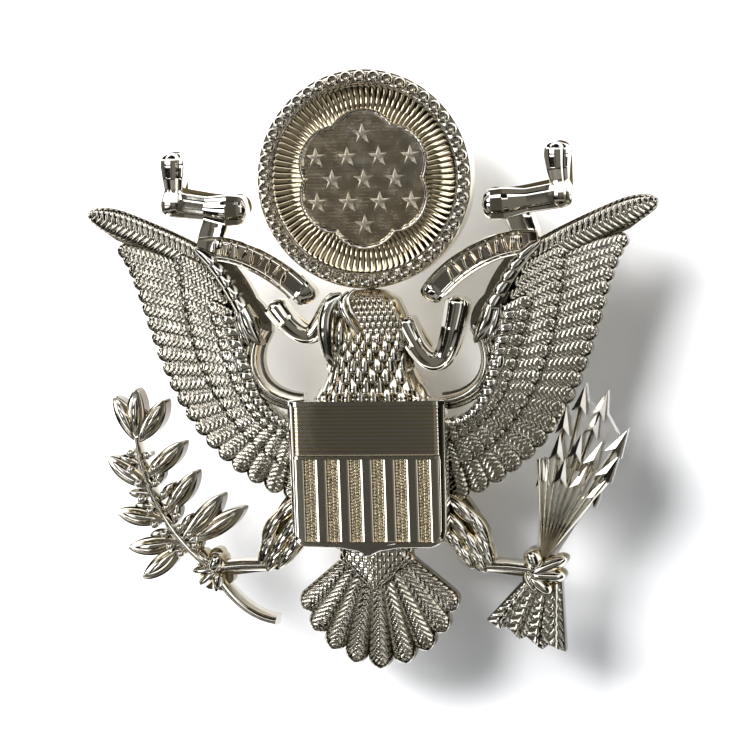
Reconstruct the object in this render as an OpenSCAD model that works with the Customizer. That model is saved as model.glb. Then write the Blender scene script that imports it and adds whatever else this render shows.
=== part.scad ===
// Cap badge: a spread eagle with a striped shield on its breast, an olive branch and a
// bundle of arrows in its talons, and a starred disc over its head. A threaded post, a
// pressure washer and a thumb nut behind it clamp it to the front of a cap.
//
// The badge stands as it is worn: X across, Z up, and its face looks along -Y. The origin is
// on the post's axis, in the plane of the flat back. Depths are measured from that plane,
// positive towards the face.

/* [Disc] */
// Radius of the starred disc
disc_r = 10.9; // [9.5:0.1:11]
// Height of the disc's centre above the post
disc_z = 22.1; // [22:0.1:24]
// Beads round the disc's rim
bead_count = 46; // [30:1:48]
// Radius of a star, centre to point
star_r = 0.95; // [0.6:0.05:1.1]

/* [Shield] */
// Width of the shield
shield_w = 16; // [14:0.5:16]
// Height of the shield to its side corners
shield_h = 14.6; // [13:0.1:15]
// Depth of the chief, the lined field at the top
chief_h = 4.9; // [3:0.1:6]
// Radius of the curve across the shield's face
shield_curve_r = 400; // [60:20:600]

/* [Wings and tail] */
// Feathers in each of a wing's two rows, not counting the long top one
feather_count = 20; // [9:1:22]
// Half the width of a feather at the upper end of the wing
feather_half_w = 0.76; // [0.6:0.02:1.1]
// Feathers in the tail
tail_count = 9; // [5:2:11]
// Half angle of the tail's fan
tail_fan = 46; // [30:1:50]

/* [Talons] */
// Arrows in the bundle
arrow_count = 13; // [7:1:13]
// Pairs of berries along the branch
berry_pairs = 5; // [3:1:5]
// Half the width of a leaf
leaf_w = 0.95; // [0.6:0.05:1.1]

/* [Fastening] */
// Radius of the post's thread
post_r = 2.0; // [1.5:0.1:2.2]
// Length of the post behind the badge
post_len = 11; // [9:0.5:14]
// Radius of the plain shoulder at the post's root
shoulder_r = 2.4; // [2.3:0.1:3]
// Length of that shoulder, which the cap's front fits
shoulder_len = 2.6; // [1.5:0.1:4]
// Radius of the thumb nut
nut_r = 4.2; // [3.8:0.1:6.3]
// Radius of the pressure washer
washer_r = 4.5; // [4:0.1:7]
// Height of each locating pin above or below the post
pin_z = 9.0; // [8.6:0.1:9.4]

/* [Hidden] */

fit = 0.05;              // face gap between the pieces that turn or slide
arc_steps = 8;           // straight pieces in a rounded tip
nickel = [0.80, 0.79, 0.76];
bright_nickel = [0.86, 0.86, 0.85];
pale_gold = [0.78, 0.70, 0.50];
steel = [0.62, 0.63, 0.64];
brass = [0.76, 0.62, 0.35];

// Front depths of the layers
wing_t = 1.5;
row_outer_t = 1.9;
row_inner_t = 2.4;
arm_t = 3.0;
torso_t = 3.0;
neck_t = 4.2;
head_t = 4.6;
disc_t = 2.0;
field_t = 2.5;
star_t = 2.9;
bead_t = 2.7;
shield_back = 3.0;
shield_t = 5.2;
scroll_t = 2.6;
end_t = 3.2;
stem_t = 2.4;
leaf_t = 2.6;
berry_t = 3.0;
shaft_t = 2.2;
arrow_t = 2.8;
tail_t = 2.4;

// ---- curves and outlines ----

function bez(p, t) = pow(1 - t, 3) * p[0] + 3 * t * pow(1 - t, 2) * p[1]
    + 3 * t * t * (1 - t) * p[2] + pow(t, 3) * p[3];
function heading(p, q) = atan2(q.y - p.y, q.x - p.x);
function turned(p, a) = [p.x * cos(a) - p.y * sin(a), p.x * sin(a) + p.y * cos(a)];

// A feather from root p to tip q: straight sides that end in a half round
function feather_pts(p, q, w0, w1) = let (a = heading(p, q), l = norm(q - p)) concat(
    [p + turned([0, w0], a)],
    [for (i = [0 : arc_steps]) let (b = 90 - 180 * i / arc_steps)
        p + turned([l - w1 + w1 * cos(b), w1 * sin(b)], a)],
    [p + turned([0, -w0], a)]);

// A pointed leaf from p to q, widest a little past its middle
function leaf_pts(p, q, w) = let (a = heading(p, q), l = norm(q - p), n = 7) concat(
    [for (i = [0 : n]) p + turned([l * i / n, w * pow(sin(180 * pow(i / n, 1.1)), 0.62)], a)],
    [for (i = [1 : n - 1]) let (j = n - i)
        p + turned([l * j / n, -w * pow(sin(180 * pow(j / n, 1.1)), 0.62)], a)]);

// A strip of half width w along the Bezier curve c
function strip_pts(c, w, n = 14) = let (
        line = [for (i = [0 : n]) bez(c, i / n)],
        side = [for (i = [0 : n]) let (a = heading(line[max(i - 1, 0)], line[min(i + 1, n)]))
            turned([0, w], a)])
    concat([for (i = [0 : n]) line[i] + side[i]], [for (i = [n : -1 : 0]) line[i] - side[i]]);

function star_pts(r) = [for (i = [0 : 9]) (i % 2 == 0 ? r : 0.42 * r) * [sin(36 * i), cos(36 * i)]];

// Stands a flat outline up as a slab between two depths
module slab(from, to) rotate([90, 0, 0]) translate([0, 0, from]) linear_extrude(to - from) children();

// The same, for an outline made of several shapes
module joined_slab(from, to) slab(from, to) offset(delta = 0.001) children();

// A slab whose upper part steps in like a low dome
module stepped(from, mid, to, inset) {
    joined_slab(from, mid) children();
    joined_slab(mid, (mid + to) / 2) offset(delta = -inset) children();
    joined_slab((mid + to) / 2, to) offset(delta = -2.2 * inset) children();
}

// Turns a shape made about Z into one about Y, its Z pointing out of the back
module backwards() rotate([-90, 0, 0]) children();

// ---- the eagle ----

neck_top = 6.2;
neck_c = [[-4.0, neck_top], [-3.9, 3.6], [-4.2, 2.6], [-5.6, 0.4]];
torso_low = -14.6;

module torso_2d() polygon(concat(
    [for (i = [0 : 6]) bez(neck_c, i / 6)],
    [[-6.6, -2], [-6.4, -9], [-4.4, torso_low], [4.4, torso_low], [6.4, -9], [6.6, -2]],
    [for (i = [6 : -1 : 0]) let (p = bez(neck_c, i / 6)) [-p.x, p.y]]));

module neck_2d() intersection() {
    torso_2d();
    translate([-8, 0.45]) square([16, 12]);
}

module torso() color(nickel) {
    joined_slab(0, torso_t) torso_2d();
    joined_slab(torso_t, 3.6) offset(delta = -0.3) neck_2d();
    joined_slab(3.6, neck_t) offset(delta = -0.9) neck_2d();
}

head_outline = [[-4.0, neck_top], [-3.6, 7.6], [-3.5, 9.2], [-2.7, 10.4], [-1.3, 11.05], [0.3, 11.2],
    [1.8, 10.9], [3.0, 10.1], [3.7, 8.6], [4.0, neck_top]];
beak_outline = [[-1.6, 10.2], [-3.2, 9.8], [-3.9, 8.4], [-4.3, 6.6], [-3.9, 4.6], [-3.2, 3.4], [-2.7, 5.0],
    [-2.3, 6.6], [-1.9, 8.2]];

module head_2d() difference() {
    polygon(head_outline);
    disc_2d();
}

module head() color(nickel) {
    stepped(0, 3.6, head_t, 0.35) head_2d();
    joined_slab(neck_t, 4.9) polygon(beak_outline);
}

// Wing curves, for the +X wing
tip_c = [[26.1, 15.6], [22.2, 10.3], [23.5, -4.9], [8.7, -10.3]];
root_c = [[15.6, 12.6], [11.4, 4.5], [13.0, -2.6], [6.6, -2.0]];
inner_tip_c = [[19.8, 14.6], [19.3, 8.3], [17.9, -2.8], [8.2, -7.4]];
top_root = [16.6, 13.9];
top_tip = [29.0, 19.3];
top_half_w = 1.42;
arm_c = [[16.2, 14.9], [14.6, 13.4], [12.4, 11.4], [11.7, 6.6]];
arm_half_w = 1.0;
wrist_c = [[10.7, 7.4], [12.9, 4.6], [12.3, 0.3], [7.2, -0.1]];
drop_top = [12.6, 10.9];
drop_low = [10.7, 5.8];

function feather_w(t) = feather_half_w * (1 + 0.45 * t);
function between(p, q, t) = p + t * (q - p);

module outer_feather(i, grow = 0) let (t = i / (feather_count - 1))
    row_feather(bez(root_c, t), bez(tip_c, t), feather_w(t), grow);
module inner_feather(i, grow = 0) let (t = i / (feather_count - 1))
    row_feather(bez(root_c, t), bez(inner_tip_c, t), 0.92 * feather_w(t), grow);
module row_feather(p, q, w, grow)
    polygon(feather_pts(p, q + turned([grow, 0], heading(p, q)), 0.8 * w + grow, w + grow));

// The long feather along a wing's top edge, which narrows to its tip
top_heading = 24;
module top_feather(grow = 0) let (
        w = top_half_w + grow,
        side = turned([0, w], top_heading),
        bend = between(top_root, top_tip, 0.73))
    polygon(concat([top_root + side, bend + side],
        [for (i = [0 : arc_steps]) let (b = 90 - 180 * i / arc_steps)
            top_tip + turned([(0.9 + grow) * (cos(b) - 1), (0.9 + grow) * sin(b)], top_heading - 3)],
        [bend - side, top_root - side]));

module wing_cut() {
    torso_2d();
    polygon(head_outline);
    disc_2d();
    scroll_band_2d();
    scroll_end_2d();
    scroll_wave_right_2d();
}

module wing_fill_2d() polygon(concat(
    [for (i = [0 : 10]) bez(root_c, i / 10)],
    [for (i = [10 : -1 : 0]) (bez(inner_tip_c, i / 10) + bez(root_c, i / 10)) / 2],
    [top_root]));

module arm_2d() {
    polygon(strip_pts(arm_c, arm_half_w));
    polygon(leaf_pts(drop_top, drop_low, 1.3));
}

module arrow_keep_out() offset(delta = 0.0) arrow_all_2d();

module wing_side_2d() difference() {
    children();
    wing_cut();
    arrow_keep_out();
}

// The +X wing; the other is its mirror image
module wing_shape() {
    joined_slab(0, wing_t) wing_side_2d() {
        for (i = [0 : feather_count - 1]) outer_feather(i);
        top_feather();
        wing_fill_2d();
        arm_2d();
        polygon(strip_pts(wrist_c, 0.75));
    }
    joined_slab(wing_t, row_outer_t) wing_side_2d() {
        for (i = [0 : feather_count - 1]) outer_feather(i, -0.25);
        top_feather(-0.25);
        wing_fill_2d();
        arm_2d();
        polygon(strip_pts(wrist_c, 0.75));
    }
    joined_slab(row_outer_t, row_inner_t) wing_side_2d() {
        for (i = [0 : feather_count - 1]) inner_feather(i, -0.25);
        arm_2d();
        polygon(strip_pts(wrist_c, 0.55));
    }
    joined_slab(row_inner_t, arm_t) wing_side_2d() offset(delta = -0.3) arm_2d();
}

module wing_right() color(nickel) wing_shape();
module wing_left() color(nickel) mirror([1, 0, 0]) wing_shape();

// Tail: a fan of feathers below a scaled patch
tail_root = [0, -13.6];
tail_long = 13.7;
tail_short = 11.0;
tail_half_w = 1.25;
coverts_low = -18.6;

function tail_angle(i) = -90 + tail_fan * (2 * i / (tail_count - 1) - 1);
function tail_tip(i) = let (k = abs(2 * i / (tail_count - 1) - 1), a = tail_angle(i))
    tail_root + (tail_long + (tail_short - tail_long) * pow(k, 1.6)) * [cos(a), sin(a)];

module tail_feather(i, grow = 0)
    offset(delta = grow) polygon(feather_pts(tail_root, tail_tip(i), 0.5, tail_half_w));

module coverts_2d() difference() {
    polygon([[-3.4, -14], [-3.6, -16], [-1.6, -17.8], [0, coverts_low], [1.6, -17.8], [3.6, -16],
        [3.4, -14]]);
    torso_2d();
}

module tail_2d(grow) difference() {
    for (i = [0 : tail_count - 1]) tail_feather(i, grow);
    torso_2d();
    coverts_2d();
}

module tail_feathers() color(nickel) {
    joined_slab(0, 1.7) tail_2d(0);
    joined_slab(1.7, tail_t) tail_2d(-0.22);
}
module tail_coverts() color(nickel) stepped(0, 2.2, 3.0, 0.3) coverts_2d();

// Legs: a feathered thigh beside the shield, a bare shank and a grip of four toes
thigh_c = [[7.0, -8.2], [10.0, -9.4], [11.2, -12.6], [12.0, -16.6]];
thigh_in = [[6.0, -13.0], [8.4, -15.8], [10.4, -17.3]];
shank_from = [11.4, -16.7];
grip_left = [-17.0, -17.2];
grip_right = [16.7, -17.2];
toe_r = 0.75;
grip_r = 2.1;

module thigh_2d() polygon(concat([for (i = [0 : 8]) bez(thigh_c, i / 8)],
    [for (i = [2 : -1 : 0]) thigh_in[i]]));
module shank_2d(grip) polygon(strip_pts([shank_from, shank_from + [1.5, -0.1], [abs(grip.x) - 2, grip.y],
    [abs(grip.x), grip.y]], 0.7));
module grip_2d(grip) for (a = [35, 100, 215, 290]) let (p = [abs(grip.x), grip.y])
    polygon(feather_pts(p, p + (0.7 * grip_r + toe_r) * [cos(a), sin(a)], toe_r, toe_r));

module leg_2d(grip) {
    shank_2d(grip);
    grip_2d(grip);
    thigh_2d();
}

module leg_body(grip) {
    joined_slab(0, 2.0) difference() {
        leg_2d(grip);
        torso_2d();
        wing_and_tail_2d();
    }
    joined_slab(2.0, 2.8) difference() {
        offset(delta = -0.2) leg_2d(grip);
        torso_2d();
        wing_and_tail_2d();
    }
}

module wing_and_tail_2d() {
    for (i = [0 : feather_count - 1]) outer_feather(i);
    tail_2d(0);
    coverts_2d();
}

module leg_right() color(nickel) leg_body(grip_right);
module leg_left() color(nickel) mirror([1, 0, 0]) leg_body(grip_left);

// ---- the disc ----

rim_in_r = disc_r - 1.55;
bead_ring_r = disc_r - 0.8;
bead_r = 0.66;
lobe_d = 3.24;
lobe_r = 3.76;
lobe_count = 6;
// Star centres: rows of 1, 4, 3, 4 and 1
star_row_gap = 2.25;
star_gap = 3.2;
star_rows = [1, 4, 3, 4, 1];

module disc_2d() translate([0, disc_z]) circle(disc_r, $fn = 180);

module at_disc(depth) translate([0, -depth, disc_z]) rotate([90, 0, 0]) children();

module lobes_2d(grow = 0) for (i = [0 : lobe_count - 1])
    translate(lobe_d * [sin(360 * i / lobe_count), cos(360 * i / lobe_count)]) circle(lobe_r + grow, $fn = 40);

module glory_disc() color(nickel) at_disc(0) rotate_extrude($fn = 90) polygon([[0, 0], [disc_r, 0],
    [disc_r, disc_t], [rim_in_r, disc_t], [rim_in_r - 0.35, disc_t - 0.45], [6.6, disc_t], [0, disc_t]]);
module star_field() color(nickel) at_disc(disc_t) {
    linear_extrude(0.25) offset(delta = 0.001) lobes_2d();
    translate([0, 0, 0.25]) linear_extrude(field_t - disc_t - 0.25) difference() {
        offset(delta = 0.001) lobes_2d();
        offset(delta = -0.35) lobes_2d();
    }
}

module star(h) {
    linear_extrude(0.5 * h) polygon(star_pts(star_r));
    translate([0, 0, 0.5 * h]) linear_extrude(0.5 * h) polygon(star_pts(0.6 * star_r));
}

module stars() color(bright_nickel) at_disc(disc_t + 0.25)
    for (r = [0 : len(star_rows) - 1], c = [0 : star_rows[r] - 1])
        translate([(c - (star_rows[r] - 1) / 2) * star_gap, (2 - r) * star_row_gap, 0])
            star(star_t - disc_t - 0.25);

module disc_beads() color(nickel) at_disc(disc_t) for (i = [0 : bead_count - 1])
    translate(bead_ring_r * [cos(360 * i / bead_count), sin(360 * i / bead_count), 0])
        rotate_extrude($fn = 24) polygon([[0, 0], [bead_r, 0], [bead_r, 0.35], [0.45, bead_t - disc_t],
            [0.25, bead_t - disc_t], [0, 0.4]]);

// ---- the shield ----

stripe_count = 6;
stripe_w = 1.25;
stripe_gap = 2.32;
rim_w = 0.55;
shield_top = 0.25;
stripe_top = shield_top - rim_w - chief_h - 0.35;
stripe_low = shield_top - shield_h + 0.55;
tip_drop = 0.95;

corner_r = 1.4;
shield_taper = 0.4;
shield_low = shield_top - shield_h;
// Half of the shield's edge, from its side corner round to the point below
shield_edge = concat([[shield_w / 2, shield_top]],
    [for (i = [0 : 6]) [shield_w / 2 - shield_taper - corner_r * (1 - cos(15 * i)),
        shield_low + corner_r * (1 - sin(15 * i))]],
    [[3.0, shield_low - 0.05], [1.2, shield_low - 0.35], [0, shield_low - tip_drop]]);

module shield_2d() polygon(concat(shield_edge,
    [for (i = [len(shield_edge) - 2 : -1 : 0]) [-shield_edge[i].x, shield_edge[i].y]]));
module shield_face(extra = 0) translate([0, shield_curve_r - shield_t - extra, -30])
    cylinder(h = 60, r = shield_curve_r, $fn = 180);

module stripes_2d(grow = 0) for (i = [0 : stripe_count - 1])
    translate([(i - (stripe_count - 1) / 2) * stripe_gap - stripe_w / 2 - grow, stripe_low - grow])
        square([stripe_w + 2 * grow, stripe_top - stripe_low + 2 * grow]);
module chief_2d() translate([-shield_w / 2 + rim_w, shield_top - rim_w - chief_h])
    square([shield_w - 2 * rim_w, chief_h]);

module shield() color(bright_nickel) difference() {
    intersection() {
        slab(shield_back, shield_t + 1) shield_2d();
        shield_face();
    }
    slab(shield_back + 0.5, shield_t + 2) stripes_2d();
    slab(shield_back + 0.5, shield_t + 2) chief_2d();
}
module shield_stripes() color(pale_gold) intersection() {
    slab(shield_back + 0.5, shield_t) stripes_2d();
    shield_face(-0.4);
}
module shield_chief() color(nickel) intersection() {
    slab(shield_back + 0.5, shield_t) chief_2d();
    shield_face(-0.25);
}

// ---- the scroll ----

band_c = [[16.9, 15.4], [14.3, 15.9], [10.2, 14.4], [7.1, 11.2]];
band_w = 1.25;
riser_c = [[15.9, 15.2], [16.4, 16.6], [15.4, 17.4], [15.2, 18.8]];
shelf_c = [[13.2, 19.6], [15.4, 19.2], [17.8, 20.2], [20.4, 20.4]];
curl_c = [[19.6, 20.0], [19.6, 21.5], [19.6, 23.0], [19.6, 24.2]];
wave_left_c = [[-2.8, 10.3], [-5.6, 8.6], [-5.2, 3.2], [-9.9, 10.0]];
wave_right_c = [[3.4, 8.2], [6.4, 1.2], [8.0, 3.2], [9.2, 10.2]];

// Rounds the outer corners of an outline
module softened(r) offset(r = r, $fn = 24) offset(delta = -r) children();

module scroll_band_2d() difference() {
    union() {
        polygon(strip_pts(band_c, band_w));
        polygon(strip_pts(riser_c, 1.3));
    }
    disc_2d();
}
module scroll_end_2d() difference() {
    softened(0.6) union() {
        polygon(strip_pts(shelf_c, 1.4));
        polygon(strip_pts(curl_c, 1.15));
        translate([19.6, 24.2]) circle(1.15, $fn = 24);
        translate([13.2, 19.6]) circle(1.35, $fn = 24);
    }
    disc_2d();
    scroll_band_2d();
}
module scroll_wave_right_2d() difference() {
    softened(0.8) polygon(strip_pts(wave_right_c, 1.1));
    disc_2d();
    polygon(head_outline);
    torso_2d();
    scroll_band_2d();
}
module scroll_wave_left_2d() difference() {
    softened(0.8) polygon(strip_pts(wave_left_c, 1.0, 18));
    disc_2d();
    polygon(head_outline);
    torso_2d();
    mirror([1, 0]) scroll_band_2d();
    mirror([1, 0]) wing_arm_2d();
}
module wing_arm_2d() {
    arm_2d();
    polygon(strip_pts(wrist_c, 0.75));
}

module band_shape() stepped(0, 2.2, scroll_t, 0.12) scroll_band_2d();
module end_shape() stepped(0, 2.6, end_t, 0.2) scroll_end_2d();
module scroll_band_right() color(bright_nickel) band_shape();
module scroll_band_left() color(bright_nickel) mirror([1, 0, 0]) band_shape();
module scroll_end_right() color(bright_nickel) end_shape();
module scroll_end_left() color(bright_nickel) mirror([1, 0, 0]) end_shape();
module scroll_wave_right() color(bright_nickel) stepped(0, 2.2, 2.8, 0.2) scroll_wave_right_2d();
module scroll_wave_left() color(bright_nickel) stepped(0, 2.2, 2.8, 0.2) scroll_wave_left_2d();

// ---- the olive branch, in the -X talon ----

stem_c = [[-17.2, -17.2], [-20.6, -14.6], [-23.9, -10.4], [-24.6, -3.6]];
stem_tail_c = [[-16.4, -18.4], [-15.0, -20.6], [-12.9, -22.2], [-10.6, -22.5]];
stem_w = 0.4;
berry_r = 0.36;

// Each leaf from its foot to its tip: three at the end of the stem, then the pairs below them
leaves = [
    [[-24.7, -4.1], [-26.9, 0.6]], [[-24.6, -4.0], [-24.5, 1.4]], [[-24.5, -4.1], [-21.5, 0.2]],
    [[-23.5, -8.8], [-27.9, -5.6]], [[-23.8, -7.7], [-19.7, -4.1]],
    [[-22.0, -12.1], [-27.1, -11.2]], [[-22.1, -11.6], [-18.5, -7.1]],
    [[-20.5, -14.3], [-26.0, -15.0]], [[-20.2, -14.1], [-15.8, -9.5]],
    [[-20.2, -14.6], [-24.6, -18.2]], [[-19.6, -14.4], [-13.6, -10.9]]];

function stem_heading(t) = heading(bez(stem_c, t - 0.02), bez(stem_c, t + 0.02));

module grip_left_2d() mirror([1, 0]) leg_2d(grip_left);
module berries_2d() difference() {
    for (i = [0 : berry_pairs - 1], s = [-1, 1])
        let (t = 0.26 + 0.7 * i / (berry_pairs - 1), a = stem_heading(t) + 90 * s)
            translate(bez(stem_c, t) + (stem_w + 0.8 * berry_r) * [cos(a), sin(a)]) circle(berry_r, $fn = 20);
    polygon(strip_pts(stem_c, stem_w));
}
module stem_2d() difference() {
    union() {
        polygon(strip_pts(stem_c, stem_w));
        polygon(strip_pts(stem_tail_c, 0.5));
    }
    grip_left_2d();
}
module leaves_2d() difference() {
    union() {
        for (e = leaves) polygon(leaf_pts(e[0], e[1], leaf_w));
    }
    polygon(strip_pts(stem_c, stem_w));
    berries_2d();
    grip_left_2d();
}

module olive_stem() color(nickel) stepped(0, 1.9, stem_t, 0.1) stem_2d();
module olive_leaves() color(nickel) stepped(0, 1.8, leaf_t, 0.18) leaves_2d();
module olive_berries() color(bright_nickel) joined_slab(0, berry_t) berries_2d();

// ---- the arrows, in the +X talon ----

bind = [17.0, -16.0];
head_len = 2.9;
head_w = 1.0;

// Rows of points, the longest first: reach from the binding, middle angle, half spread, count
arrow_rows = [[18.6, 71.5, 3.6, 2], [16.1, 68, 12, 3], [13.5, 67, 14, 4], [10.7, 70, 19, 4]];
arrows = [for (r = arrow_rows, i = [0 : r[3] - 1]) [r[0] - 0.6 * abs(2 * i / (r[3] - 1) - 1),
    r[1] + r[2] * (2 * i / (r[3] - 1) - 1)]];
function arrow_angle(k) = arrows[k][1];
function arrow_tip(k) = bind + arrows[k][0] * [cos(arrow_angle(k)), sin(arrow_angle(k))];

module grip_right_2d() leg_2d(grip_right);
module one_head_2d(k) translate(arrow_tip(k)) rotate(arrow_angle(k))
    polygon([[0, 0], [-head_len, head_w], [-0.75 * head_len, 0], [-head_len, -head_w]]);
// The webs behind the shafts and between the points
module shafts_2d() difference() {
    polygon(concat([bind + [0.9, -0.2]], [for (r = [[51, 9.0], [52, 12.0], [58, 14.5], [66, 16.0], [75, 16.4],
        [81, 12.6], [89, 9.2]]) bind + r[1] * [cos(r[0]), sin(r[0])]], [bind + [-0.9, -0.2]]));
    grip_right_2d();
}
module heads_2d() for (k = [0 : min(arrow_count, len(arrows)) - 1]) one_head_2d(k);
module fletching_2d() difference() {
    polygon([[14.6, -18.4], [11.0, -22.2], [12.3, -23.1], [13.0, -22.9], [14.3, -24.2], [15.0, -23.9],
        [16.6, -25.2], [17.2, -24.7], [18.9, -25.4], [18.7, -18.4]]);
    grip_right_2d();
}
module arrow_all_2d() {
    shafts_2d();
    heads_2d();
}

module arrow_shafts() color(nickel) joined_slab(0, shaft_t) difference() {
    union() { shafts_2d(); heads_2d(); }
}
module arrow_heads() color(bright_nickel) joined_slab(shaft_t, arrow_t) heads_2d();
module arrow_fletching() color(nickel) joined_slab(0, 2.2) fletching_2d();

// ---- the fastening ----

tip_chamfer = 0.5;
pin_r = 0.6;
pin_foot_r = 1.0;
pin_foot_t = 0.4;
pin_len = 4.6;
pin_point = 1.0;
washer_t = 0.8;
washer_lip = 0.25;
nut_t = 1.8;
hub_r = 3.0;
hub_t = 1.6;
knurl_count = 30;
knurl_depth = 0.25;
washer_y = shoulder_len + fit;
nut_y = washer_y + washer_t + fit;

module screw_post() color(steel) backwards() rotate_extrude($fn = 72) polygon([[0, 0], [shoulder_r, 0],
    [shoulder_r, shoulder_len], [post_r, shoulder_len], [post_r, post_len - tip_chamfer],
    [post_r - tip_chamfer, post_len], [0, post_len]]);

module locating_pins() color(steel) for (s = [-1, 1]) translate([0, 0, s * pin_z]) backwards()
    rotate_extrude($fn = 48) polygon([[0, 0], [pin_foot_r, 0], [pin_foot_r, pin_foot_t], [pin_r, pin_foot_t],
        [pin_r, pin_len - pin_point], [0.12, pin_len], [0, pin_len]]);

module pressure_washer() color(brass) translate([0, washer_y, 0]) backwards() rotate_extrude($fn = 96) polygon([
    [post_r + 0.08, 0], [washer_r - washer_lip, 0], [washer_r, washer_lip], [washer_r, washer_t - washer_lip],
    [washer_r - washer_lip, washer_t], [post_r + 0.08, washer_t]]);

module thumb_nut() color(brass) translate([0, nut_y, 0]) backwards() difference() {
    union() {
        linear_extrude(nut_t) polygon([for (i = [0 : 2 * knurl_count - 1])
            (nut_r - (i % 2) * knurl_depth) * [cos(180 * i / knurl_count), sin(180 * i / knurl_count)]]);
        translate([0, 0, nut_t]) cylinder(h = hub_t, r1 = hub_r + 0.4, r2 = hub_r, $fn = 72);
    }
    translate([0, 0, -1]) cylinder(h = nut_t + hub_t + 2, r = post_r + fit, $fn = 72);
}

torso();
head();
wing_left();
wing_right();
tail_coverts();
tail_feathers();
leg_left();
leg_right();
glory_disc();
star_field();
stars();
disc_beads();
shield();
shield_chief();
shield_stripes();
scroll_band_left();
scroll_band_right();
scroll_end_left();
scroll_end_right();
scroll_wave_left();
scroll_wave_right();
olive_stem();
olive_leaves();
olive_berries();
arrow_shafts();
arrow_heads();
arrow_fletching();
screw_post();
locating_pins();
pressure_washer();
thumb_nut();
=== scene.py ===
import math

import bmesh
import bpy
import numpy as np
from mathutils import Matrix, Vector


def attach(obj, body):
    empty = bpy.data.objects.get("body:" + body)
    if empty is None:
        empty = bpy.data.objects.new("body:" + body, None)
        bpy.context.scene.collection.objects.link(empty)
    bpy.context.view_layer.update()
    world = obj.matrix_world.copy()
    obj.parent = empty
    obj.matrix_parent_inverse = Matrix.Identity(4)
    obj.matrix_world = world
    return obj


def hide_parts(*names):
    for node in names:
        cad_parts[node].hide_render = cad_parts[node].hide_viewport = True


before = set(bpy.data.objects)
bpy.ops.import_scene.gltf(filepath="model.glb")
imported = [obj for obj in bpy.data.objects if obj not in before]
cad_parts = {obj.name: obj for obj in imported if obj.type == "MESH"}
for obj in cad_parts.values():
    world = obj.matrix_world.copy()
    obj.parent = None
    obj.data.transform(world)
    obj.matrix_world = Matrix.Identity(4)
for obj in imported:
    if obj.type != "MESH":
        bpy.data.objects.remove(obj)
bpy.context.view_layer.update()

# Every length below is in millimetres until a mesh is made. A point of the relief is (x, z, h):
# across, up, and the height above the flat back, so that y = -h. The stage is in metres.
MM = 0.001
rng = np.random.default_rng(7)


# ------------ curves


def bez(p, t):
    """Points at t, 0 to 1, on the cubic Bezier curve with the control points p."""
    p = np.asarray(p, float)
    t = np.asarray(t, float)[..., None]
    return (1 - t) ** 3 * p[0] + 3 * t * (1 - t) ** 2 * p[1] + 3 * t * t * (1 - t) * p[2] + t**3 * p[3]


def unit(a):
    """The direction at a degrees above +X."""
    return np.array([math.cos(math.radians(a)), math.sin(math.radians(a))])


def smooth(e0, e1, x):
    """0 below e0, 1 above e1, and a smooth step between them."""
    t = np.clip((x - e0) / (e1 - e0), 0, 1)
    return t * t * (3 - 2 * t)


def resample(points, step):
    """A polyline with its points evenly spaced."""
    points = np.asarray(points, float)
    s = np.concatenate([[0], np.cumsum(np.linalg.norm(np.diff(points, axis=0), axis=1))])
    n = max(int(round(s[-1] / step)), 2)
    t = np.linspace(0, s[-1], n + 1)
    return np.stack([np.interp(t, s, points[:, i]) for i in range(points.shape[1])], 1)


def rounded(points, times=2):
    """Chaikin's corner cutting on an open polyline."""
    p = np.asarray(points, float)
    for _ in range(times):
        a, b = p[:-1], p[1:]
        mid = np.stack([0.75 * a + 0.25 * b, 0.25 * a + 0.75 * b], 1).reshape(-1, p.shape[1])
        p = np.concatenate([p[:1], mid, p[-1:]])
    return p


def normals_2d(line):
    """The direction to the left of a line at each of its points."""
    d = np.gradient(line, axis=0)
    d /= np.linalg.norm(d, axis=1)[:, None] + 1e-12
    return np.stack([-d[:, 1], d[:, 0]], 1)


def heading(p, q):
    """The distance from p to q, the direction of q, and the direction to the left of that."""
    way = np.asarray(q, float) - np.asarray(p, float)
    length = np.linalg.norm(way)
    d = way / length
    return length, d, np.array([-d[1], d[0]])


def laid(p, d, n, s, side):
    """x and z of the points that are s along d from p and side along n."""
    return p[0] + d[0] * s + n[0] * side, p[1] + d[1] * s + n[1] * side


def around(n):
    """n angles evenly spaced round a circle."""
    return np.linspace(0, 2 * math.pi, n, endpoint=False)


def polar(centre, rad, t, h):
    """Points at distance rad from a centre in direction t, at height h."""
    x = centre[0] + rad * np.cos(t)
    z = centre[1] + rad * np.sin(t)
    return np.stack([x, z, np.broadcast_to(h, x.shape)], -1)


# ------------ mesh building


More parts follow.
